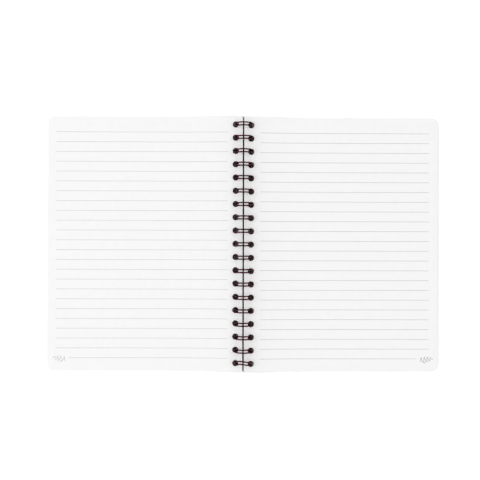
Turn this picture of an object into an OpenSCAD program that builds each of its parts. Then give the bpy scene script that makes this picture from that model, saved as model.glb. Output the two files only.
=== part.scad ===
// Open twin-loop notebook, lying flat with half of its pages turned over.
// X runs across the spread, Y up the pages and Z up from the table.
// The origin is on the table, under the middle of the spine.

/* [Pages] */
// Width of a page, from its punched edge to its fore edge
page_w = 187; // [100:1:215]
// Height of a page
page_h = 244.5; // [120:0.5:297]
// Thickness of the block of pages on each side
block_t = 3; // [1:0.1:4]
// Radius of the outer corners of the pages and covers
corner_r = 5.5; // [1:0.5:12]
// Gap left open between the two punched edges of the spread
gutter = 1.3; // [0.8:0.1:3]
// Radius of the curve by which the pages climb from the table to the rings
climb_r = 650; // [400:10:900]

/* [Covers] */
// Thickness of each cover card
cover_t = 0.8; // [0.4:0.1:1.2]
// Gap left open between the inner edges of the two covers
cover_gutter = 0.4; // [0.3:0.1:0.8]
// Air between a cover and the pages that lie on it
cover_air = 0.2; // [0.1:0.05:0.4]

/* [Punched holes] */
// Diameter of a punched hole
hole_d = 5.9; // [5.7:0.1:6.4]
// Distance from one hole to the next
hole_pitch = 12.7; // [8.5:0.1:12.7]
// Least distance from the top or bottom of a page to the middle of a hole
hole_end = 6; // [4:0.5:9]

/* [Wire binding] */
// Diameter of the coated wire
wire_d = 1.15; // [0.8:0.05:1.3]
// Distance between the two wires of one loop, centre to centre
loop_w = 2.76; // [2.2:0.02:2.8]
// Radius of the rings, to the middle of the wire
ring_r = 8.1; // [7.4:0.1:9]
// Radius of the bend from a ring into the straight back wire
bend_r = 1.4; // [1:0.1:1.8]
// Clearance between a ring's nose and the back wire, where the ring closes
nose_gap = 0.3; // [0.2:0.05:1]
// Length of the wire's cut ends, past the first and last loops
tail_l = 2.5; // [1:0.5:4]

/* [Fit] */
// How far the level of the rings' axis stands above the upper page
page_drop = 0.3; // [0.2:0.05:0.5]
// How far each half has slipped along the spine, left half up and right half down
slip = 0.4; // [0:0.01:0.4]

/* [Hidden] */

card_colour = [0.16, 0.15, 0.15];
paper_colour = [0.95, 0.95, 0.94];
wire_colour = [0.30, 0.07, 0.13];

// Facets round a hole, round the wire, along a ring, round a tight bend of the wire
// and round the shallow climb
hole_fn = 32;
wire_fn = 14;
ring_fn = 30;
bend_fn = 24;
climb_fn = 360;
// How far a cutting shape runs past the solid that it cuts
over = 1;

// The tight bends of the wire are a hair thicker than its straight parts, where the
// coating bunches up, and they lap over those parts by a few degrees of bend
bend_swell = 0.04;
bend_lap = 6;
bend_d = wire_d + bend_swell;

// The foot of the rings stands on the table, and their axis is every leaf's hinge line
foot_z = bend_d / 2;
axis_z = foot_z + ring_r;

// Each half is a cover, a thin layer of air and a block of pages
half_t = cover_t + cover_air + block_t;
// Where the climb starts, so that the upper page reaches page_drop under the axis
climb_x = sqrt(pow(climb_r - half_t, 2) - pow(climb_r - axis_z + page_drop, 2));

// Height of a layer where it climbs, x from the spine, with level its height where it
// lies flat
function layer_z(x, level) =
  climb_r - sqrt(pow(climb_r - level, 2) - pow(climb_x - x, 2));

// A hole's middle lies between the rings' places at the upper faces of the pages and of
// the cover
top_depth = axis_z - layer_z(ring_r, half_t);
low_depth = axis_z - layer_z(ring_r, cover_t);
hole_x = (sqrt(pow(ring_r, 2) - pow(top_depth, 2))
  + sqrt(pow(ring_r, 2) - pow(low_depth, 2))) / 2;
fore_x = gutter / 2 + page_w;

// Where the rings close, in whole degrees
nose_reach = loop_w / 2 + wire_d + nose_gap;
seam_angle = ceil(nose_reach / ring_r * 180 / PI);
back_wire_l = hole_pitch - loop_w - 2 * bend_r;

// As many holes as the height of the page holds
hole_count = floor((page_h - 2 * hole_end) / hole_pitch) + 1;
function hole_y(i) = (i - (hole_count - 1) / 2) * hole_pitch;

// Outline of a leaf in plan: square at the spine, rounded at the fore edge
module leaf_outline(inner_x) {
  translate([inner_x, -page_h / 2])
    square([fore_x - corner_r - inner_x, page_h]);
  translate([fore_x - corner_r, corner_r - page_h / 2])
    square([corner_r, page_h - 2 * corner_r]);
  for (side = [-1, 1])
    translate([fore_x - corner_r, side * (page_h / 2 - corner_r)])
      circle(r = corner_r, $fn = 48);
}

// Cross-section of one layer: flat on the table, then climbing towards the spine.
// low and high are the layer's heights where it lies flat.
module layer_section(low, high) {
  translate([climb_x, low])
    square([page_w, high - low]);
  intersection() {
    translate([climb_x, climb_r])
      difference() {
        circle(r = climb_r - low, $fn = climb_fn);
        circle(r = climb_r - high, $fn = climb_fn);
      }
    square([climb_x, climb_r]);
  }
}

// One punched, bent layer of the right half
module leaf(low, high, inner_x) {
  difference() {
    intersection() {
      linear_extrude(height = axis_z) leaf_outline(inner_x);
      translate([0, page_h / 2 + over, 0])
        rotate([90, 0, 0])
          linear_extrude(height = page_h + 2 * over) layer_section(low, high);
    }
    for (i = [0 : hole_count - 1])
      translate([hole_x, hole_y(i), -over])
        cylinder(d = hole_d, h = axis_z + 2 * over, $fn = hole_fn);
  }
}

module cover_leaf() {
  leaf(0, cover_t, cover_gutter / 2);
}

module page_block() {
  leaf(cover_t + cover_air, half_t, gutter / 2);
}

// The halves mirror each other, apart from their slip along the spine
module left_half() {
  translate([0, slip, 0]) mirror([1, 0, 0]) children();
}

module right_half() {
  translate([0, -slip, 0]) children();
}

module front_cover() {
  color(card_colour) left_half() cover_leaf();
}

module left_pages() {
  color(paper_colour) left_half() page_block();
}

module right_pages() {
  color(paper_colour) right_half() page_block();
}

module back_cover() {
  color(card_colour) right_half() cover_leaf();
}

module wire_section() {
  circle(d = wire_d, $fn = wire_fn);
}

// Turns what is drawn round Z into the same round the rings' axis, with angle 0 at
// the foot of the rings and the angle growing up the right side
module round_axis(angle = 0) {
  translate([0, 0, axis_z])
    rotate([90, 0, 0]) rotate([0, 0, angle - 90]) children();
}

// The two wires of a loop, from the back wire over the pages and down to the nose
module loop_arms() {
  for (side = [-1, 1])
    translate([0, side * loop_w / 2, 0])
      round_axis()
        rotate_extrude(angle = 360 - seam_angle, $fn = ring_fn)
          translate([ring_r, 0]) wire_section();
}

// A tight bend of the wire in the XY plane, about Z
module tight_bend(radius, start, angle) {
  rotate_extrude(start = start - bend_lap, angle = angle + 2 * bend_lap, $fn = bend_fn)
    translate([radius, 0]) circle(d = bend_d, $fn = wire_fn);
}

// The nose: the hairpin that joins the two wires at the closed end of the loop
module loop_nose() {
  round_axis(360 - seam_angle)
    translate([ring_r, 0, 0])
      rotate([0, 90, 0]) tight_bend(loop_w / 2, 0, 180);
}

// The two bends at the foot of a loop, out into the straight back wire
module loop_feet() {
  for (side = [0, 1])
    mirror([0, side, 0])
      translate([0, loop_w / 2 + bend_r, foot_z]) tight_bend(bend_r, 180, 90);
}

// A straight length of back wire that starts past the loop at height y
module back_wire(y, length) {
  translate([-bend_r, y, foot_z])
    rotate([-90, 0, 0]) cylinder(d = wire_d, h = length, $fn = wire_fn);
}

// One wire, bent to and fro into a row of double loops
module wire_binding() {
  color(wire_colour) {
    for (i = [0 : hole_count - 1])
      translate([0, hole_y(i), 0]) {
        loop_arms();
        loop_nose();
        loop_feet();
      }
    for (i = [0 : hole_count - 2])
      back_wire(hole_y(i) + loop_w / 2 + bend_r, back_wire_l);
    back_wire(hole_y(hole_count - 1) + loop_w / 2 + bend_r, tail_l);
    back_wire(hole_y(0) - loop_w / 2 - bend_r - tail_l, tail_l);
  }
}

front_cover();
left_pages();
right_pages();
back_cover();
wire_binding();
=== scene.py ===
# %% [markdown]
# # An open wire-bound notebook
#
# This lesson dresses a notebook that lies open and flat, seen from straight above. The
# solids come from a CAD model, and they stay fixed: they say where each piece is and how
# it turns. Blender adds what the solids leave out, which is the loose sheets, the printed
# rules, the smooth bent wire, and the finish of paper, card and coated steel.
#
# The notebook's own measures are in millimetres, and become metres only where a mesh or a
# node is made. The camera, the floor and the lamps are placed in metres. X runs across
# the spread, Y up the pages and Z up from the table, and the origin is on the table under
# the middle of the spine.

import math
import random

import bpy
import numpy as np
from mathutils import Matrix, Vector
from mathutils.geometry import delaunay_2d_cdt


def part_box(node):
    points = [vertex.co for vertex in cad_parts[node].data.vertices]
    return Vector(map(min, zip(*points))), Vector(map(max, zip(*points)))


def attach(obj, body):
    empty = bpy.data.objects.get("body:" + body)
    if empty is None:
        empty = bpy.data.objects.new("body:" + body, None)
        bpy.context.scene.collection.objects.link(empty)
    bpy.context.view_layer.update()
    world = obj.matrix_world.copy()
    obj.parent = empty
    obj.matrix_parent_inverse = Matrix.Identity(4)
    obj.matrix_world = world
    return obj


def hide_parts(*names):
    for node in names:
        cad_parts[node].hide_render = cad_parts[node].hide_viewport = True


# A metre, in the notebook's millimetres
METRE = 1000.0

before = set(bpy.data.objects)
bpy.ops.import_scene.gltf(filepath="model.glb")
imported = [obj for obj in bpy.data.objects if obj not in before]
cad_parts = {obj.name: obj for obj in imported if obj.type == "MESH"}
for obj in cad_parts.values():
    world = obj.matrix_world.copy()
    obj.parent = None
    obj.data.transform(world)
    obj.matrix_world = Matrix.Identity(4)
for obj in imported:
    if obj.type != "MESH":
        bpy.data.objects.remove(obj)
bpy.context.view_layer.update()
print("CAD nodes:", ", ".join(sorted(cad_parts)))

# %% [markdown]
# ## Measures
#
# A dressed piece has to sit exactly where its solid is. Its sizes could be read off the
# solids' boxes, but a box doesn't tell the radius of a curve, or where a ring closes. So
# the measures are written down once, as the CAD model has them, and a few are printed
# beside the solids' boxes, because a wrong one would put the sheets beside their block.

# %% Measures of the notebook, in millimetres
# Pages and covers
PAGE_W, PAGE_H, CORNER_R = 187.0, 244.5, 5.5
BLOCK_T, COVER_T, COVER_AIR = 3.0, 0.8, 0.2
GUTTER, CLIMB_R = 1.3, 650.0
# Punched holes, one for each loop of the wire
HOLE_D, PITCH, LOOPS = 5.9, 12.7, 19
# Wire, with what its tight bends add to its thickness
WIRE_D, SWELL, LOOP_W, RING_R = 1.15, 0.04, 2.76, 8.1
BEND_R, NOSE_GAP, TAIL_L = 1.4, 0.3, 2.5
# How far the pages lie under the rings' axis, and each half's slip along the spine
PAGE_DROP, SLIP = 0.3, 0.4

FOOT_Z = (WIRE_D + SWELL) / 2
AXIS_Z = FOOT_Z + RING_R
HALF_T = COVER_T + COVER_AIR + BLOCK_T
CLIMB_X = math.sqrt((CLIMB_R - HALF_T) ** 2 - (CLIMB_R - AXIS_Z + PAGE_DROP) ** 2)
FORE_X = GUTTER / 2 + PAGE_W
SEAM = math.radians(math.ceil(math.degrees((LOOP_W / 2 + WIRE_D + NOSE_GAP) / RING_R)))


def climb_z(x, level):
    """Height at x of the layer that lies at this level on the flat part of a page."""
    run = np.maximum(CLIMB_X - x, 0.0)
    return CLIMB_R - np.sqrt((CLIMB_R - level) ** 2 - run ** 2)


def ring_x(level):
    """Where the rings cross the layer that lies at this level."""
    depth = AXIS_Z - climb_z(RING_R, level)
    return math.sqrt(RING_R ** 2 - depth ** 2)


HOLE_X = (ring_x(HALF_T) + ring_x(COVER_T)) / 2
hole_ys = [(i - (LOOPS - 1) / 2) * PITCH for i in range(LOOPS)]
block_low, block_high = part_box("right_pages")
print("climb starts at", round(CLIMB_X, 2), "mm, holes at", round(HOLE_X, 2), "mm")
print("a page's spine edge, fore edge and top, in mm:",
      GUTTER / 2, FORE_X, round(float(climb_z(GUTTER / 2, HALF_T)), 2))
print("and in the CAD:",
      [round(METRE * v, 2) for v in (block_low.x, block_high.x, block_high.z)])

# %% [markdown]
# ## Camera
#
# The notebook is seen from straight above. A long lens from far away would show its
# outline just as well, but a distance of 0.7 m makes the rings, which stand higher than
# the pages, lean outwards from the middle of the picture. A camera with no rotation
# already looks down. Here it leans by less than half a degree, so the right half looks a
# little smaller. The lens follows from how far out the picture's edge is on the pages.

# %% Camera
CAMERA_AT = (-0.0085, 0.0040, 0.689)
LEAN_DEG, TURN_DEG = -0.45, 0.15
HALF_VIEW, PAGE_LEVEL = 0.2311, 0.004
SENSOR_MM = 36.0

camera = bpy.data.objects.new("camera", bpy.data.cameras.new("camera"))
bpy.context.scene.collection.objects.link(camera)
camera.location = CAMERA_AT
camera.rotation_euler = (0, math.radians(LEAN_DEG), math.radians(TURN_DEG))
camera.data.sensor_width = SENSOR_MM
camera.data.lens = SENSOR_MM / 2 * (CAMERA_AT[2] - PAGE_LEVEL) / HALF_VIEW
camera.data.clip_start = 0.01
bpy.context.scene.camera = camera
print("lens:", round(camera.data.lens, 2), "mm on a", SENSOR_MM, "mm sensor")

# %% [markdown]
# ## A small language for finishes
#
# A finish is a tree of shader nodes. Wiring each node by hand hides the idea behind the
# plumbing, so one small class wraps a node's output. Adding, taking away or multiplying
# wrapped outputs adds the Math nodes that do it, also where a plain number comes first,
# as in 1 - mask, and one method makes any other node.

# %% Wrapped shader outputs
class Shade:
    """An output of a shader node, or just the tree when it has no socket."""

    def __init__(self, tree, socket=None):
        self.tree = tree
        self.socket = socket

    def node(self, kind, settings=None, inputs=None, out=0):
        """Adds a node: its settings come first, then values or links for its sockets."""
        made = self.tree.nodes.new("ShaderNode" + kind)
        for name, value in (settings or {}).items():
            if name == "stops":
                for stop, (where, grey) in zip(made.color_ramp.elements, value):
                    stop.position = where
                    stop.color = (grey, grey, grey, 1)
            else:
                setattr(made, name, value)
        for name, value in (inputs or {}).items():
            if isinstance(value, Shade):
                self.tree.links.new(value.socket, made.inputs[name])
            else:
                made.inputs[name].default_value = value
        return Shade(self.tree, made.outputs[out] if made.outputs else None)

    def maths(self, operation, first, second):
        return self.node("Math", {"operation": operation}, {0: first, 1: second})

    def __add__(self, other):
        return self.maths("ADD", self, other)

    def __radd__(self, other):
        return self.maths("ADD", other, self)

    def __sub__(self, other):
        return self.maths("SUBTRACT", self, other)

    def __rsub__(self, other):
        return self.maths("SUBTRACT", other, self)

    def __mul__(self, other):
        return self.maths("MULTIPLY", self, other)

    def __rmul__(self, other):
        return self.maths("MULTIPLY", other, self)


print("a plain number may come first in", [name for name in vars(Shade) if "__r" in name])

# %% [markdown]
# ## The words of that language
#
# A few nodes come back in every finish: noise with blobs of a real size, a blend of two
# colours, a ramp, and a bump with a real depth. Each gets a short name. Noise could be
# laid out on a UV map, but a place on the piece needs no unwrapping, and it moves with
# the piece, so the noise doesn't slide when a page turns.

# %% Helpers for finishes
def new_finish(name):
    """An empty material, and the wrapped tree that its nodes go into."""
    finish = bpy.data.materials.new(name)
    finish.use_nodes = True
    finish.node_tree.nodes.clear()
    return finish, Shade(finish.node_tree)


def noise(tree, size, detail=2.0, roughness=0.5, stretch=(1, 1, 1)):
    """Cloudy noise from 0 to 1, with blobs of about this size in millimetres."""
    place = tree.node("TexCoord", out="Object")
    spread = tree.node("Mapping", {}, {"Vector": place, "Scale": stretch})
    return tree.node("TexNoise", {}, {
        "Vector": spread, "Scale": METRE / size, "Detail": detail, "Roughness": roughness})


def mixed(factor, first, second):
    """From the first colour to the second as the factor goes from 0 to 1."""
    # The Mix node's colours are its sockets 6 and 7, and the mixed colour is output 2
    return factor.node("Mix", {"data_type": "RGBA"}, {0: factor, 6: first, 7: second}, 2)


def ramp(field, low, high):
    """0 below low, 1 above high and a straight slope between."""
    return field.node("ValToRGB", {"stops": ((low, 0.0), (high, 1.0))}, {"Fac": field})


def bump(height, depth):
    """A normal tilted by a height from 0 to 1 that stands for this depth in mm."""
    return height.node("Bump", {}, {
        "Height": height, "Strength": 1.0, "Distance": depth / METRE})


def surface(tree, **sockets):
    """Ends a finish with one Principled shader."""
    names = {name.replace("_", " "): value for name, value in sockets.items()}
    shader = tree.node("BsdfPrincipled", {}, names)
    tree.node("OutputMaterial", {}, {"Surface": shader})


print("finishes so far:", len(bpy.data.materials))

# %% [markdown]
# ## Paper
#
# Writing paper is white and matt. One flat white would look like plastic, because real
# paper is cloudy: its fibres lie in flocks a few millimetres wide, and close up its skin
# is a felt of short fibres. An image could show that, but noise is sharp at any distance.
# Here the wide noise counts most in the very faint change of colour, and the fine one in
# the bump.

# %% Paper
PAPER = (0.70, 0.70, 0.70, 1)
PAPER_SHADE = (0.675, 0.674, 0.672, 1)
FLOCK_SIZE, FIBRE_SIZE, FELT_DEPTH = 6.0, 0.4, 0.02
FLOCK_SHARE = 0.6

paper, tree = new_finish("writing_paper")
flocks = noise(tree, FLOCK_SIZE, detail=3.0)
fibres = noise(tree, FIBRE_SIZE, detail=4.0, roughness=0.7)
felt = fibres + FLOCK_SHARE * (flocks - fibres)
surface(
    tree,
    Base_Color=mixed(ramp(felt, low=0.42, high=0.95), PAPER, PAPER_SHADE),
    Roughness=0.86 + 0.1 * fibres,
    IOR=1.4,
    Normal=bump(fibres + flocks * 0.5, FELT_DEPTH),
)
print("paper is", PAPER[:3])

# %% [markdown]
# ## Printed ink
#
# The rules and the small motif in the corners are printed in one pale grey. Offset ink
# soaks into the paper, so it keeps the paper's skin and breaks up a little between the
# fibres. It could be mixed into the paper's finish by a mask, but as a finish of its own,
# on faces of its own, it stays sharp at any distance.

# %% Ink
INK = (0.34, 0.34, 0.34, 1)
INK_THIN = (0.43, 0.43, 0.428, 1)
GRAIN_SIZE, GRAIN_DEPTH = 0.3, 0.012

ink, tree = new_finish("grey_ink")
grain = noise(tree, GRAIN_SIZE, detail=3.0, roughness=0.6)
surface(
    tree,
    Base_Color=mixed(ramp(grain, low=0.5, high=0.72), INK, INK_THIN),
    Roughness=0.7 + 0.15 * grain,
    IOR=1.4,
    Normal=bump(grain, GRAIN_DEPTH),
)
print("ink is", INK[:3])

# %% [markdown]
# ## Punched edges, with painted shade
#
# Inside a punched hole, the cut edges of thirty sheets lie under each other. In the white
# of the pages they would glow, because light bounces between white walls. The punch
# leaves a trace of grey, but the wall of a hole gets a finish far darker than that: painted
# shade that keeps the holes dark, streaked along the sheets.

# %% Punched edges, with painted shade
# Both colours are painted shade over the punch's trace of grey, far darker than cut paper is
PUNCHED_WITH_SHADE = (0.20, 0.195, 0.19, 1)
PUNCHED_WITH_DEEP_SHADE = (0.12, 0.115, 0.11, 1)
PLY_SIZE, PLY_DEPTH = 0.8, 0.03
ALONG_SHEETS = (0.2, 0.2, 4.0)

punched, tree = new_finish("punched_edge_painted_shade")
plies = noise(tree, PLY_SIZE, detail=3.0, stretch=ALONG_SHEETS)
surface(
    tree,
    Base_Color=mixed(plies, PUNCHED_WITH_SHADE, PUNCHED_WITH_DEEP_SHADE),
    Roughness=0.85 + 0.1 * plies,
    Normal=bump(plies, PLY_DEPTH),
)
print("punched edges are", PUNCHED_WITH_SHADE[:3])

# %% [markdown]
# ## Cover card
#
# The covers are stiff card dyed black right through. Plain black would read as a hole in
# the picture. Pressed card has a faint sheen, paler fibres that show as short flecks, and
# a slight long grain, so one noise is stretched along the grain. The covers stay the CAD
# solids, because their shape is right, and only their material changes.

# %% Card
CARD = (0.022, 0.020, 0.020, 1)
CARD_FLECK = (0.06, 0.056, 0.053, 1)
FLECK_SIZE, WAVE_SIZE, CARD_DEPTH = 0.7, 9.0, 0.04
LONG_GRAIN = (1.0, 0.35, 1.0)
COVERS = ("front_cover", "back_cover")

card, tree = new_finish("black_card")
flecks = noise(tree, FLECK_SIZE, detail=5.0, roughness=0.65, stretch=LONG_GRAIN)
waves = noise(tree, WAVE_SIZE)
surface(
    tree,
    Base_Color=mixed(ramp(flecks, low=0.55, high=0.8), CARD, CARD_FLECK),
    Roughness=0.62 + 0.2 * flecks,
    Specular_IOR_Level=0.22,
    Normal=bump(flecks + waves * 0.6, CARD_DEPTH),
)
for name in COVERS:
    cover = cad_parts[name]
    cover.data.materials.clear()
    cover.data.materials.append(card)
print("card on", ", ".join(COVERS))

# %% [markdown]
# ## Coated wire
#
# Twin-loop wire is steel with a skin of coloured nylon, here a dark wine red. Red metal
# would be too bright where it mirrors the lamps. Nylon is a plastic, satin smooth and
# dull at a straight look, and the machine that crimps the rings leaves it faintly uneven,
# which a slow noise gives.

# %% Nylon coat
COAT = (0.043, 0.001, 0.006, 1)
COAT_WORN = (0.060, 0.002, 0.010, 1)
DRIFT_SIZE, PEEL_SIZE, COAT_DEPTH = 4.0, 0.5, 0.015

nylon, tree = new_finish("wine_nylon")
drift = noise(tree, DRIFT_SIZE, detail=3.0)
peel = noise(tree, PEEL_SIZE)
surface(
    tree,
    Base_Color=mixed(ramp(drift, low=0.35, high=0.75), COAT, COAT_WORN),
    Roughness=0.36 + 0.16 * drift,
    Specular_IOR_Level=0.06,
    Normal=bump(peel + drift * 0.5, COAT_DEPTH),
)
print("wire coat is", COAT[:3])

# %% [markdown]
# ## Cut steel
#
# The wire was cut to length after it was coated, so its two ends show bare steel with the
# fine parallel marks of the cutter. In the colour of the coat they would make it look
# like solid plastic. Noise that is squeezed along X gives the marks.

# %% Cut steel
STEEL = (0.42, 0.41, 0.40, 1)
STEEL_BRIGHT = (0.62, 0.61, 0.60, 1)
MARK_SIZE, MARK_DEPTH = 0.2, 0.02
SQUEEZED = (6, 1, 1)

steel, tree = new_finish("cut_steel")
marks = noise(tree, MARK_SIZE, stretch=SQUEEZED)
surface(
    tree,
    Base_Color=mixed(marks, STEEL, STEEL_BRIGHT),
    Metallic=1.0,
    Roughness=0.3 + 0.2 * marks,
    Normal=bump(marks, MARK_DEPTH),
)
print("steel is", STEEL[:3])

# %% [markdown]
# ## The rules on a page
#
# Each page has 24 rules that stop short of its edges, and the last rule is shorter, to
# leave room for a small printed motif in the outer corner. Print could be a picture laid
# on the page, but a picture blurs close up. Here each rule is an outline in the plane of
# the page, a long thin rectangle, a little bolder on the right page. Later the sheet's
# mesh is divided along these outlines.

# %% Rules in the plane of the page
RULES, RULE_STEP = 24, 9.44
RULE_W = {"left": 0.27, "right": 0.33}
FIRST_RULE = PAGE_H / 2 - 15.0
# Where the rules start, and how far they and the last one end before the fore edge
MARGINS = {"left": (14.8, 7.9, 20.6), "right": (16.1, 8.7, 21.0)}


def page_rules(side):
    """The outline of each rule of the page on this side, a long thin rectangle."""
    inner, outer, last = MARGINS[side]
    found = []
    for i in range(RULES):
        end = FORE_X - (last if i == RULES - 1 else outer)
        low = FIRST_RULE - i * RULE_STEP - RULE_W[side] / 2
        high = low + RULE_W[side]
        found.append([(inner, low), (end, low), (end, high), (inner, high)])
    return found


print("rules on a page:", len(page_rules("left")))

# %% [markdown]
# ## The sprig in the corner
#
# The motif is a plain sprig. A twig rises and then droops, leaves stand off it by turns
# above and below, smaller and closer to it towards the tip, and one leaf ends it. It
# could be drawn point by point, but with a formula its size and lean are easy to change.
# A leaf is the space between two arcs. It starts a tenth of a millimetre off the twig, so
# that no two outlines cross and cut the print into slivers.

# %% A sprig in the plane of the page
TWIG_W = {"left": 0.24, "right": 0.34}
LEAF_SLIM = {"left": 0.18, "right": 0.3}
# The cut end's distance from the fore edge and from the bottom of the page
TWIG_IN, TWIG_UP = 17.4, 9.2
TWIG_RUN, TWIG_RISE, TWIG_DROOP = 11.0, 6.4, 3.4
TWIG_STEPS, LEAF_GAP = 8, 0.12
# Each leaf's length and angle, and how much less they are at each step
LEAF_L, LEAF_L_LESS = 4.5, 0.26
LEAF_DEG, LEAF_DEG_LESS = 62, 3
TIP_L, TIP_DEG = 2.4, 2
# With a belly below 1, a leaf is widest nearer its stalk
LEAF_STEPS, LEAF_BELLY = 7, 0.85


def leaf(x, y, length, width, turn):
    """The outline of a leaf with its stalk at x, y that points in the turn's direction."""
    along = np.linspace(0, 1, LEAF_STEPS)
    half = width / 2 * np.sin(np.pi * along ** LEAF_BELLY)
    rim = [(length * a, h) for a, h in zip(along, half)]
    rim += [(length * a, -h) for a, h in zip(along[-2:0:-1], half[-2:0:-1])]
    c, s = math.cos(turn), math.sin(turn)
    return [(x + c * u - s * v, y + s * u + c * v) for u, v in rim]


def twig_line():
    """Points along the middle of the bowed twig, from its cut end to its tip."""
    start = Vector((FORE_X - TWIG_IN, TWIG_UP - PAGE_H / 2))
    along = np.linspace(0, 1, TWIG_STEPS + 1)
    return [start + Vector((TWIG_RUN * t, TWIG_RISE * t - TWIG_DROOP * t * t)) for t in along]


def sprig(side):
    """The twig and its leaves, about 13 mm long, in an outer page corner."""
    bow, half, slim = twig_line(), TWIG_W[side] / 2, LEAF_SLIM[side]
    shapes = [[(p.x, p.y + half) for p in bow] + [(p.x, p.y - half) for p in reversed(bow)]]
    for k in range(1, TWIG_STEPS):
        up = 1 if k % 2 else -1
        p, heading = bow[k], bow[k + 1] - bow[k]
        turn = math.atan2(heading.y, heading.x) + up * math.radians(LEAF_DEG - LEAF_DEG_LESS * k)
        size = LEAF_L - LEAF_L_LESS * k
        shapes.append(leaf(p.x, p.y + up * (half + LEAF_GAP), size, size * slim, turn))
    tip = bow[-1]
    shapes.append(leaf(tip.x + LEAF_GAP, tip.y, TIP_L, TIP_L * slim, math.radians(TIP_DEG)))
    return shapes


print("shapes in a sprig:", len(sprig("left")))

# %% [markdown]
# ## The outline of a sheet
#
# A sheet is square at the spine and rounded at the fore edge, and it has 19 punched
# holes. Boolean cuts could make the holes, but outlines in one plane are exact and quick.
# A mesh bends only at its edges, so lines along Y are listed too, closer together near
# the rings, where the page is steepest.

# %% Outlines of a sheet and its holes
HOLE_SIDES, CORNER_STEPS = 24, 8
SPINE_INSET = 0.02
BEND_LINES = [2.1, 4.2, 10.6, 13, 16, 21, 27, 33, 39, 45, 51, 57, 63, 69, CLIMB_X]


def sheet_outline(inset, shift):
    """The rim of a sheet that is this much smaller than its block, and shifted in it."""
    dx, dy = shift
    low, high = dy + inset - PAGE_H / 2, dy + PAGE_H / 2 - inset
    fore, r = FORE_X - inset + dx, CORNER_R
    rim = [(GUTTER / 2 + SPINE_INSET, low)]
    for centre_y, start in ((low + r, -90), (high - r, 0)):
        for step in range(CORNER_STEPS + 1):
            a = math.radians(start + 90 / CORNER_STEPS * step)
            rim.append((fore - r + r * math.cos(a), centre_y + r * math.sin(a)))
    rim.append((GUTTER / 2 + SPINE_INSET, high))
    return rim


def hole_outline(y):
    """The rim of the punched hole at this height up the spine."""
    turns = [2 * math.pi * k / HOLE_SIDES for k in range(HOLE_SIDES)]
    return [(HOLE_X + HOLE_D / 2 * math.cos(a), y + HOLE_D / 2 * math.sin(a)) for a in turns]


print("points round a sheet:", len(sheet_outline(0, (0, 0))), "and round a hole:", HOLE_SIDES)

# %% [markdown]
# ## One sheet in the plane
#
# The space between the outlines has to be filled with triangles. A flat curve object
# fills its outlines by itself, but it knows nothing of bend lines. A constrained Delaunay
# triangulation takes the rim, the holes, the printed shapes and the bend lines at once,
# and keeps all of them as edges. It fills the holes too, so each triangle is then kept,
# dropped or inked by where its middle is.

# %% Triangulate a sheet
SHEET_INSET = 0.12
# Points closer than MERGE become one, and TINY keeps a level edge from dividing by zero
MERGE, TINY = 1e-5, 1e-12


def inside(points, outline):
    """Which points lie inside a closed outline, by counting crossings."""
    x, y = points[:, 0], points[:, 1]
    hit = np.zeros(len(points), bool)
    for (ax, ay), (bx, by) in zip(outline, outline[1:] + outline[:1]):
        crosses = (ay > y) != (by > y)
        hit ^= crosses & (x < ax + (y - ay) * (bx - ax) / (by - ay + TINY))
    return hit


def filled(outlines, low, high):
    """Points and triangles between all the outlines and the bend lines."""
    points, edges = [], []
    for outline in outlines:
        first, n = len(points), len(outline)
        points += outline
        edges += [(first + k, first + (k + 1) % n) for k in range(n)]
    for x in BEND_LINES:
        edges.append((len(points), len(points) + 1))
        points += [(x, low), (x, high)]
    made = delaunay_2d_cdt([Vector(p) for p in points], edges, [], 0, MERGE, False)
    return np.array([tuple(v) for v in made[0]]), np.array(made[2])


def sheet_plan(shift, shapes=()):
    """Points, triangles and the inked triangles of a sheet, in mm in its plane."""
    rim = sheet_outline(SHEET_INSET, shift)
    holes = [hole_outline(y) for y in hole_ys]
    low, high = min(p[1] for p in rim), max(p[1] for p in rim)
    flat, triangles = filled((rim, *holes, *shapes), low, high)
    middle = flat[triangles].mean(axis=1)
    keep = inside(middle, rim)
    for hole in holes:
        keep &= ~inside(middle, hole)
    triangles, middle = triangles[keep], middle[keep]
    inked = np.zeros(len(triangles), bool)
    for outline in shapes:
        inked |= inside(middle, outline)
    return flat, triangles, inked


plain = sheet_plan((0, 0))
print("a plain sheet has", len(plain[1]), "triangles")

# %% [markdown]
# ## From the plane to a bent sheet
#
# A sheet gets its thickness from two copies of its plan, one for its top and one for its
# underside, joined by a wall along every edge that only one triangle uses. A Solidify
# modifier could do that, but here both copies have to follow the same climb to the rings
# as the CAD block. The walls inside the holes get the punched finish, with its painted shade.

# %% Give a sheet its thickness and its bend
PAPER_FACE, INK_FACE, HOLE_FACE = 0, 1, 2
HOLE_SLACK = 0.01
SHEETS = 30
SHEET_T = BLOCK_T / SHEETS


def rim_edges(triangles):
    """The edges that bound the sheet, each in its triangle's own direction."""
    pairs = np.concatenate([triangles[:, [0, 1]], triangles[:, [1, 2]], triangles[:, [2, 0]]])
    code = np.sort(pairs, axis=1)
    _, index, count = np.unique(code, axis=0, return_index=True, return_counts=True)
    return pairs[index[count == 1]]


def hole_walls(starts):
    """The finish of the walls that start at these points: punched, with painted shade, inside a
    hole.
    """
    in_row = np.abs(starts[:, 0] - HOLE_X) < HOLE_D / 2 + HOLE_SLACK
    in_row &= np.abs(starts[:, 1]) < hole_ys[-1] + HOLE_D
    return np.where(in_row, HOLE_FACE, PAPER_FACE)


def face_up(flat, triangles):
    """The same triangles, all counted the same way round, so that they face up."""
    a, b, c = (flat[triangles[:, k]] for k in range(3))
    turn = (b[:, 0] - a[:, 0]) * (c[:, 1] - a[:, 1]) - (b[:, 1] - a[:, 1]) * (c[:, 0] - a[:, 0])
    return np.where(turn[:, None] > 0, triangles, triangles[:, ::-1])


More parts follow.
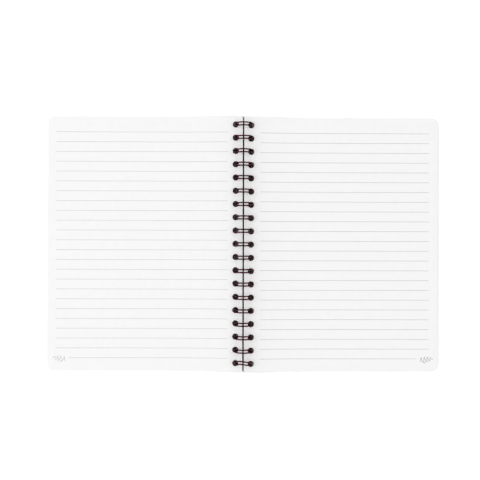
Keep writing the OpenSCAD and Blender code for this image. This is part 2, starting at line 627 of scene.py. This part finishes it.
def bent_sheet(plan, low, high, ink_above, ink_below):
    """Points in mm, triangles, and the finish of each triangle, of one closed sheet."""
    flat, triangles, inked = plan
    top = face_up(flat, triangles)
    under = top[:, ::-1] + len(flat)
    layers = [np.column_stack([flat, climb_z(flat[:, 0], h)]) for h in (high, low)]
    p, q = rim_edges(top).T
    walls = np.concatenate([
        np.column_stack([q, p, p + len(flat)]),
        np.column_stack([q, p + len(flat), q + len(flat)])])
    finish = np.concatenate([
        np.where(inked & ink_above, INK_FACE, PAPER_FACE),
        np.where(inked & ink_below, INK_FACE, PAPER_FACE),
        np.tile(hole_walls(flat[p]), 2)])
    return np.concatenate(layers), np.concatenate([top, under, walls]), finish


one_sheet = bent_sheet(plain, HALF_T - SHEET_T, HALF_T, False, False)
print("a bent sheet has", len(one_sheet[1]), "triangles")

# %% [markdown]
# ## Making an object
#
# Sheets and wire are both worked out as lists of points and triangles, and one function
# turns such lists into a Blender object. A bmesh is handier where a mesh is still to be
# edited, but finished lists load in one call. Smooth shading makes the wire round, and
# edges past a certain angle are kept crisp, so that cut paper still looks cut.

# %% From lists to an object
SHARP_DEG = 30


def used_only(points, faces):
    """Drops the points that no face uses."""
    used, faces = np.unique(faces, return_inverse=True)
    return points[used], faces.reshape(-1, 3)


def mesh_piece(name, points, faces, finish, finishes):
    """A smooth-shaded object whose sharp edges are kept crisp, from points in mm."""
    mesh = bpy.data.meshes.new(name)
    mesh.from_pydata((points / METRE).tolist(), [], faces.tolist())
    for material in finishes:
        mesh.materials.append(material)
    mesh.polygons.foreach_set("material_index", np.asarray(finish, np.int32))
    mesh.shade_smooth()
    mesh.set_sharp_from_angle(angle=math.radians(SHARP_DEG))
    mesh.update()
    piece = bpy.data.objects.new(name, mesh)
    bpy.context.scene.collection.objects.link(piece)
    return piece


print("of a sheet's", len(one_sheet[0]), "points,", len(used_only(*one_sheet[:2])[0]), "are used")

# %% [markdown]
# ## A block of loose sheets
#
# Thirty sheets lie on each side. A solid block with stripes in its bump could stand for
# them, but from the side each cut edge catches the light by itself. Nobody squares them
# up perfectly, so each sheet is a hair smaller than the block and is shifted inside it by
# up to a tenth of a millimetre. Only the two outer faces of a block can be seen, so only
# they get the printing.

# %% Stack the sheets
SHEET_GAP, SHEET_SLACK = 0.012, 0.11


def stack_sheets(side, seed):
    """All the sheets on one side of the spine, as one piece."""
    draw = random.Random(seed)
    bottom = COVER_T + COVER_AIR
    parts, start = [], 0
    for k in range(SHEETS):
        shift = [draw.uniform(-SHEET_SLACK, SHEET_SLACK) for _ in range(2)]
        above, below = k == SHEETS - 1, k == 0
        printed = page_rules(side) + sprig(side) if above or below else ()
        plan = sheet_plan(shift, printed)
        low = bottom + k * SHEET_T + (0 if below else SHEET_GAP / 2)
        high = bottom + (k + 1) * SHEET_T - (0 if above else SHEET_GAP / 2)
        points, faces, finish = bent_sheet(plan, low, high, above, below)
        points, faces = used_only(points, faces)
        parts.append((points, faces + start, finish))
        start += len(points)
    points, faces, finish = (np.concatenate([p[n] for p in parts]) for n in range(3))
    points[:, 1] += SLIP if side == "left" else -SLIP
    if side == "left":
        points[:, 0] *= -1
        faces = faces[:, ::-1]
    return mesh_piece(side + "_sheets", points, faces, finish, (paper, ink, punched))


print("a sheet and its gap are", SHEET_T, "mm thick")

# %% [markdown]
# ## Sheets that turn with their block
#
# The sheets stand for the CAD block, which is hidden, and they ride on its body, so that
# they turn with it. They could be given a parent by hand, and here a small helper gives
# them the empty of their block's body. Each side's draws have a seed, so that the script
# makes the same sheets each time.

# %% Put the sheets in place
SEEDS = {"left": 11, "right": 12}

for side, seed in SEEDS.items():
    sheets = stack_sheets(side, seed)
    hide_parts(side + "_pages")
    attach(sheets, side + "_pages")
    print(sheets.name, "has", len(sheets.data.polygons), "triangles")

# %% [markdown]
# ## The rings of the wire
#
# A ring is most of a circle round the rings' axis. The loop at the bottom of the spine
# has been knocked: over the pages it leans up the spine by two millimetres, and it comes
# back nearly in line before it goes down through the left-hand holes, so that pages that
# are turned over to that side clear it. A lattice could bend it, but a push that depends
# only on the turn round the ring is simpler to aim. It is listed in millimetres at a few
# angles in degrees, and eased between them.

# %% A point on a ring
BENT_LOOP = 0
PUSHES = [(0, 0.0), (95, 0.0), (206, 2.1), (242, 0.4), (360, 0.4)]


def pushed(turn):
    """How far a ring of the bent loop is pushed up the spine at this turn, in mm."""
    for (a, before), (b, after) in zip(PUSHES, PUSHES[1:]):
        if turn <= math.radians(b):
            t = (math.degrees(turn) - a) / (b - a)
            return before + (after - before) * (3 * t * t - 2 * t * t * t)
    return PUSHES[-1][1]


def on_ring(y, turn, bent):
    """A point on a ring, with turn 0 at its foot, growing up the right side."""
    shift = pushed(turn) if bent else 0.0
    return (RING_R * math.sin(turn), y + shift, AXIS_Z - RING_R * math.cos(turn))


print("at the top of the bent loop the push is", round(pushed(math.pi), 2), "mm")

# %% [markdown]
# ## The path of the wire
#
# A machine makes this binding from one wire. It runs up the back of the spine, turns in,
# goes once round as a ring, makes a hairpin at the closed end, comes back as the second
# wire of the loop and turns out again. Separate rings would be easier to make, but they
# would have no hairpins and nothing to hold them at the back. So one path goes through
# all 19 loops.

# %% The path of the wire
ARM_STEPS, BEND_STEPS, NOSE_STEPS = 50, 6, 12


def loop_path(y, bent):
    """The points of one loop, from the back wire below it to the back wire above it."""
    low, high = y - LOOP_W / 2, y + LOOP_W / 2
    points = []
    for k in range(BEND_STEPS + 1):
        a = math.pi / 2 * k / BEND_STEPS
        points.append((-BEND_R * math.cos(a), low - BEND_R + BEND_R * math.sin(a), FOOT_Z))
    full = 2 * math.pi - SEAM
    turns = [full * k / ARM_STEPS for k in range(1, ARM_STEPS + 1)]
    points += [on_ring(low, turn, bent) for turn in turns]
    end = Vector(on_ring(y, full, bent))
    along = Vector((math.cos(full), 0, math.sin(full)))
    for k in range(1, NOSE_STEPS):
        a = math.pi * k / NOSE_STEPS
        p = end + along * (LOOP_W / 2 * math.sin(a))
        points.append((p.x, p.y - LOOP_W / 2 * math.cos(a), p.z))
    points += [on_ring(high, turn, bent) for turn in reversed(turns)]
    for k in range(BEND_STEPS + 1):
        a = math.pi / 2 * (1 - k / BEND_STEPS)
        points.append((-BEND_R * math.cos(a), high + BEND_R - BEND_R * math.sin(a), FOOT_Z))
    return points


tail = BEND_R + LOOP_W / 2 + TAIL_L
wire_path = [(-BEND_R, hole_ys[0] - tail, FOOT_Z)]
for i, y in enumerate(hole_ys):
    wire_path += loop_path(y, i == BENT_LOOP)
wire_path.append((-BEND_R, hole_ys[-1] + tail, FOOT_Z))
print("wire path has", len(wire_path), "points")

# %% [markdown]
# ## Sweeping the section
#
# A round section that travels along the path gives a smooth wire with no joints. A curve
# with a round bevel would do it too, but here the two flat ends need a finish of their
# own. The section must not twist on its way. Each ring of points starts from the last
# one's sideways direction, with the part along the new heading taken out, which is called
# parallel transport.

# %% Sweep the wire
WIRE_SIDES = 16
COAT_FACE, STEEL_FACE = 0, 1


def section_rings(path, radius):
    """A ring of points round each point of the path, with no twist between them."""
    heading = np.gradient(path, axis=0)
    heading /= np.linalg.norm(heading, axis=1)[:, None]
    side = np.array((1.0, 0.0, 0.0))
    turns = np.linspace(0, 2 * math.pi, WIRE_SIDES, endpoint=False)
    rings = []
    for point, ahead in zip(path, heading):
        side = side - ahead * side.dot(ahead)
        side /= np.linalg.norm(side)
        across = np.cross(ahead, side)
        rings.append(point + radius * (
            np.outer(np.cos(turns), side) + np.outer(np.sin(turns), across)))
    return rings


def swept(path, radius):
    """Points, faces and finish of a round bar along a path, with flat ends."""
    path = np.array(path, float)
    points = np.concatenate([*section_rings(path, radius), path[:1], path[-1:]])
    k = np.arange(WIRE_SIDES)
    n = (k + 1) % WIRE_SIDES
    faces = []
    for i in range(len(path) - 1):
        low, high = i * WIRE_SIDES, (i + 1) * WIRE_SIDES
        faces += [np.column_stack([low + k, low + n, high + n]),
                  np.column_stack([low + k, high + n, high + k])]
    last, hub = (len(path) - 1) * WIRE_SIDES, len(path) * WIRE_SIDES
    ends = [np.column_stack([n, k, np.full(WIRE_SIDES, hub)]),
            np.column_stack([last + k, last + n, np.full(WIRE_SIDES, hub + 1)])]
    finish = np.repeat((COAT_FACE, STEEL_FACE), (2 * last, 2 * WIRE_SIDES))
    return points, np.concatenate(faces + ends), finish


points, faces, finish = swept(wire_path, WIRE_D / 2)
print("swept wire has", len(points), "points")

# %% [markdown]
# ## The wire in place
#
# The smooth wire stands for the CAD wire. Nothing holds a real wire but the holes that it
# passes through. It has to ride on one body, so it rides on the back cover, as the CAD
# wire does.

# %% Put the wire in place
wire = mesh_piece("wire_loops", points, faces, finish, (nylon, steel))
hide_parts("wire_binding")
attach(wire, "back_cover")
print("wire has", len(wire.data.polygons), "triangles")

# %% [markdown]
# ## Floor
#
# The notebook lies on a plain pale studio floor. A small sheet would do for this camera,
# but its edge would show in low views. So it is one very large sheet of seamless paper,
# brighter than the pages, which stand out against it as a soft off-white.

# %% Floor
FLOOR_HALF = 15.0
SEAMLESS = (0.97, 0.97, 0.97, 1)
SEAMLESS_PALE = (0.985, 0.985, 0.985, 1)
CLOUD_SIZE = 50.0

seamless, tree = new_finish("seamless_paper")
cloud = noise(tree, CLOUD_SIZE)
surface(
    tree,
    Base_Color=mixed(cloud, SEAMLESS, SEAMLESS_PALE),
    Roughness=0.9 + 0.05 * cloud,
)
corners = [(x * FLOOR_HALF, y * FLOOR_HALF, 0) for x, y in ((-1, -1), (1, -1), (1, 1), (-1, 1))]
floor_mesh = bpy.data.meshes.new("floor")
floor_mesh.from_pydata(corners, [], [(0, 1, 2, 3)])
floor_mesh.materials.append(seamless)
floor = bpy.data.objects.new("floor", floor_mesh)
bpy.context.scene.collection.objects.link(floor)
print("floor is", 2 * FLOOR_HALF, "m wide")

# %% [markdown]
# ## Soft boxes
#
# Most of the light comes from the room around the notebook, which the next step makes.
# The room is the same on both sides, so a small soft box on each side, one stronger than
# the other, makes the left page a little brighter than the right one.

# %% Soft boxes
# Where each box stands in metres, its power in watts and its tint
BOXES = {
    "left_box": ((-1.75, 0.1, 1.75), 14.0, (1.0, 1.0, 1.0)),
    "right_box": ((1.75, 0.1, 1.75), 3.0, (1.0, 0.94, 0.97)),
}
BOX_W, BOX_H = 0.9, 1.8

for name, (at, power, tint) in BOXES.items():
    light = bpy.data.lights.new(name, "AREA")
    light.shape = "RECTANGLE"
    light.size, light.size_y = BOX_W, BOX_H
    light.energy = power
    light.color = tint
    box = bpy.data.objects.new(name, light)
    bpy.context.scene.collection.objects.link(box)
    box.location = at
    box.rotation_euler = (-Vector(at)).to_track_quat("-Z", "Y").to_euler()
    print(name, "has", power, "W")

# %% [markdown]
# ## The light of the room
#
# Two wide banks of soft light stand to the left and right, half to two thirds of the way
# up to the zenith, in a dimmer pale room that is dark overhead. Light at that slant can't
# reach the bottom of a punched hole, so the holes stay dark while the pages are bright.
# It also runs along the rings, so a ring's shadow falls right under it and the paper
# between the rings stays clean. Light from the other sides softens what is left, and a
# brighter band low down hides the line where the floor ends. Lamps could make the banks,
# but lamps that wide would stand in the way of side views, so the world makes them.
#
# Height here is that of a direction, from 0 at the horizon to 1 at the zenith. A
# direction counts as sideways by its bearing alone, where X squared is more than a share
# of X squared plus Y squared. The squares of X, Y and the height add up to one, so the
# test needs only X and the height. The picture is developed with a slightly steeper
# curve than the standard one, as product pictures are, which keeps thin wires dark
# against the paper.

# %% Room light
BANK_LIGHT = (2.96, 2.945, 2.95, 1)
ROOM_LIGHT = (0.9, 0.9, 0.9, 1)
HORIZON = (1.1, 1.1, 1.1, 1)
DARK = (0.0, 0.0, 0.0, 1)
# The heights over which the horizon's band ends, and the banks start and end
BAND_END, BANK_START, BANK_END = (0.1, 0.2), (0.55, 0.7), (0.88, 0.98)
SHARE, SOFTNESS = 0.65, 0.1
PRINT_CURVE = 0.86

room = bpy.data.worlds.new("room")
bpy.context.scene.world = room
room.use_nodes = True
room.node_tree.nodes.clear()
tree = Shade(room.node_tree)
toward = tree.node("TexCoord", out="Generated")
across = tree.node("SeparateXYZ", {}, {"Vector": toward}, "X")
height = tree.node("SeparateXYZ", {}, {"Vector": toward}, "Z")
bearing = across * across + SHARE * height * height
sideways = ramp(bearing, SHARE - SOFTNESS, SHARE + SOFTNESS)
below_top = 1 - ramp(height, *BANK_END)
low_room = mixed(ramp(height, *BAND_END), HORIZON, ROOM_LIGHT)
banks = mixed(sideways, ROOM_LIGHT, BANK_LIGHT)
all_round = mixed(ramp(height, *BANK_START), low_room, banks)
glow = tree.node("Background", {}, {"Color": mixed(below_top, DARK, all_round)})
tree.node("OutputWorld", {}, {"Surface": glow})
bpy.context.scene.view_settings.view_transform = "Standard"
bpy.context.scene.view_settings.gamma = PRINT_CURVE
print("the room has", len(room.node_tree.nodes), "nodes")

# %% [markdown]
